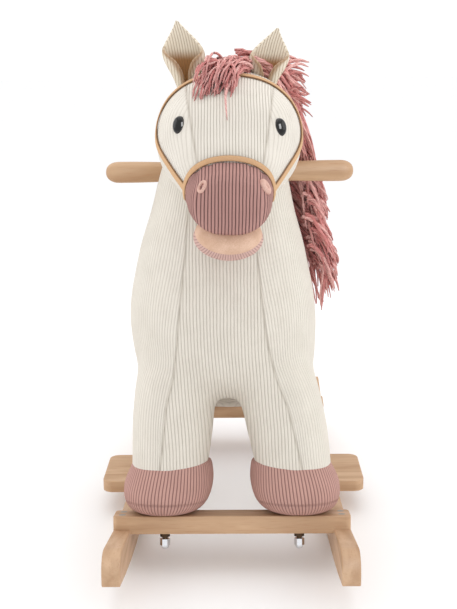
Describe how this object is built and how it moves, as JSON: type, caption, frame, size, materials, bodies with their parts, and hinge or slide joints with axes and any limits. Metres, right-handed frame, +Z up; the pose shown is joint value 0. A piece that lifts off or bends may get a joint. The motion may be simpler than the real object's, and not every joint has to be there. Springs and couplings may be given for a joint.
{
  "type": "rocking horse",
  "caption": "Plush corduroy rocking horse with a wooden handle, on curved beech runners with cross slats and two footrests.",
  "frame": {"origin": "on the floor, at the bottom middle of the whole object's box, under the middle of the runners", "axes": "+Z up, the horse faces -Y, +X is its rider's left"},
  "size_m": [0.338, 0.675, 0.6165],
  "materials": {
    "tan_suede": "suede cloth",
    "washer_white": "moulded",
    "steel": "zinc plated",
    "pink_yarn": "loose acrylic yarn",
    "pink_corduroy": "wide-wale corduroy",
    "cream_corduroy": "fine corduroy",
    "frame_wood": "sawn, unfinished",
    "beech": "oiled, fine flecks",
    "chrome": "bright plated",
    "eye_black": "glossy",
    "pale_pink_cord": "wrapped cord",
    "peach_plush": "short plush"
  },
  "bodies": {
    "root": {"browband": "tan_suede", "eye_washers": "washer_white", "footrest_screws": "steel", "forelock": "pink_yarn", "frame_screws": "steel", "front_left_hoof": "pink_corduroy", "front_left_leg": "cream_corduroy", "front_left_leg_post": "frame_wood", "front_right_hoof": "pink_corduroy", "front_right_leg": "cream_corduroy", "front_right_leg_post": "frame_wood", "front_slat": "beech", "front_slat_screws": "steel", "handle_bar": "beech", "handle_lock_screw": "steel", "head": "cream_corduroy", "hoof_bolts": "chrome", "hoof_cap_nuts": "chrome", "hoof_lock_nuts": "chrome", "hoof_washers": "chrome", "left_cheek_strap": "tan_suede", "left_ear": "cream_corduroy", "left_eye": "eye_black", "left_footrest": "beech", "left_nostril": "pale_pink_cord", "left_runner": "beech", "lower_lip": "pink_corduroy", "mane": "pink_yarn", "mouth_lining": "peach_plush", "muzzle": "pink_corduroy", "neck": "cream_corduroy", "neck_board": "frame_wood", "noseband": "tan_suede", "rear_left_hoof": "pink_corduroy", "rear_left_leg": "cream_corduroy", "rear_left_leg_post": "frame_wood", "rear_right_hoof": "pink_corduroy", "rear_right_leg": "cream_corduroy", "rear_right_leg_post": "frame_wood", "rear_slat": "beech", "rear_slat_screws": "steel", "right_cheek_strap": "tan_suede", "right_ear": "cream_corduroy", "right_eye": "eye_black", "right_footrest": "beech", "right_nostril": "pale_pink_cord", "right_runner": "beech", "spine_board": "frame_wood", "tail": "pink_yarn", "torso": "cream_corduroy"}
  },
  "joints": []
}
